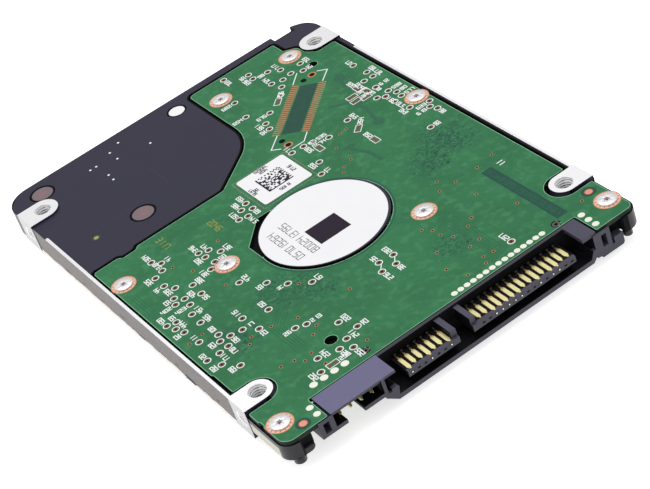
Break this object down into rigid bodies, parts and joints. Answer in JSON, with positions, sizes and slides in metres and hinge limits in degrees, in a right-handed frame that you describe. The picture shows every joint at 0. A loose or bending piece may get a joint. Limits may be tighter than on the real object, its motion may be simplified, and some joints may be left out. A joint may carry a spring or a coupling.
{
  "type": "hard disk drive",
  "caption": "Slim notebook-size hard disk drive: cast base, circuit board side with serial connector, and working platter, head actuator and latch inside.",
  "frame": {"origin": "centre of the cover's outer face, on the plane the drive lies on, midway along its length and width", "axes": "+X across the width, +Y along the length away from the connector, +Z from the cover to the circuit board side"},
  "size_m": [0.0698, 0.1002, 0.007],
  "materials": {
    "black_casting": "die-cast aluminium, black electro-coat, satin, with machined bright rails, bosses and side faces",
    "cover_steel": "stamped sheet, fine brushed satin",
    "rubber_seal": "matte elastomer",
    "white_label": null,
    "green_board": "green solder mask over copper tracks, semi-gloss",
    "screw_steel": "bright nickel plated steel",
    "connector_plastic": "purple-black moulded thermoplastic",
    "gold": "gold plated contact",
    "chip_black": "moulded epoxy",
    "bare_aluminium": "machined, satin",
    "mirror_platter": "sputtered mirror",
    "steel": "nickel plated steel",
    "nickel_magnet": "nickel plated",
    "copper": "enamelled copper wire",
    "amber_flex": "polyimide film over copper tracks",
    "natural_plastic": "natural moulded polymer",
    "filter_cloth": "non-woven filter cloth"
  },
  "bodies": {
    "housing": {"base_casting": "black_casting", "top_cover": "cover_steel", "cover_gasket": "rubber_seal", "outer_crash_stop": "rubber_seal", "inner_crash_stop": "rubber_seal", "top_label": "white_label", "motor_label": "white_label", "pcb_sticker": "white_label", "cover_screw_1": "screw_steel", "cover_screw_2": "screw_steel", "cover_screw_3": "screw_steel", "cover_screw_4": "screw_steel", "cover_screw_5": "screw_steel", "cover_screw_6": "screw_steel", "pivot_screw": "screw_steel", "pcb_screw_1": "screw_steel", "pcb_screw_2": "screw_steel", "pcb_screw_3": "screw_steel", "pcb_screw_4": "screw_steel", "pcb_screw_5": "screw_steel", "pcb_screw_6": "screw_steel", "pcb_screw_7": "screw_steel", "pcb_screw_8": "screw_steel", "pcb": "green_board", "controller_chip": "chip_black", "memory_chip": "chip_black", "motor_driver_chip": "chip_black", "flash_chip": "chip_black", "head_connector": "chip_black", "sata_housing": "connector_plastic", "signal_contacts": "gold", "power_contacts": "gold", "jumper_pins": "gold", "bearing_sleeve": "bare_aluminium", "stator_core": "steel", "pivot_shaft": "steel", "lower_yoke": "steel", "upper_yoke": "steel", "latch_pin": "steel", "stator_windings": "copper", "lower_magnet": "nickel_magnet", "upper_magnet": "nickel_magnet", "load_ramp": "natural_plastic", "flex_cable": "amber_flex", "recirculation_filter": "filter_cloth", "breather_filter": "filter_cloth"},
    "rotor": {"spindle_hub": "bare_aluminium", "spindle_shaft": "steel", "rotor_magnet": "nickel_magnet", "platter": "mirror_platter", "disk_clamp": "bare_aluminium", "clamp_screw": "screw_steel"},
    "actuator": {"pivot_bearing": "steel", "head_carriage": "bare_aluminium", "voice_coil": "copper", "lower_suspension": "steel", "upper_suspension": "steel", "lower_head_slider": "chip_black", "upper_head_slider": "chip_black"},
    "latch": {"latch_lever": "natural_plastic"}
  },
  "joints": [
    {"name": "platter_spin", "type": "hinge", "parent": "housing", "child": "rotor", "pos_m": [0, -0.00915, 0.0024], "axis": [0, 0, 1], "continuous": true},
    {"name": "actuator_swing", "type": "hinge", "parent": "housing", "child": "actuator", "pos_m": [-0.019, 0.0226, 0.0024], "axis": [0, 0, -1], "range_deg": [0, 36], "deforming": ["flex_cable"]},
    {"name": "latch_swing", "type": "hinge", "parent": "housing", "child": "latch", "pos_m": [-0.0316, 0.0129, 0.0025], "axis": [0, 0, -1], "range_deg": [0, 6]}
  ]
}
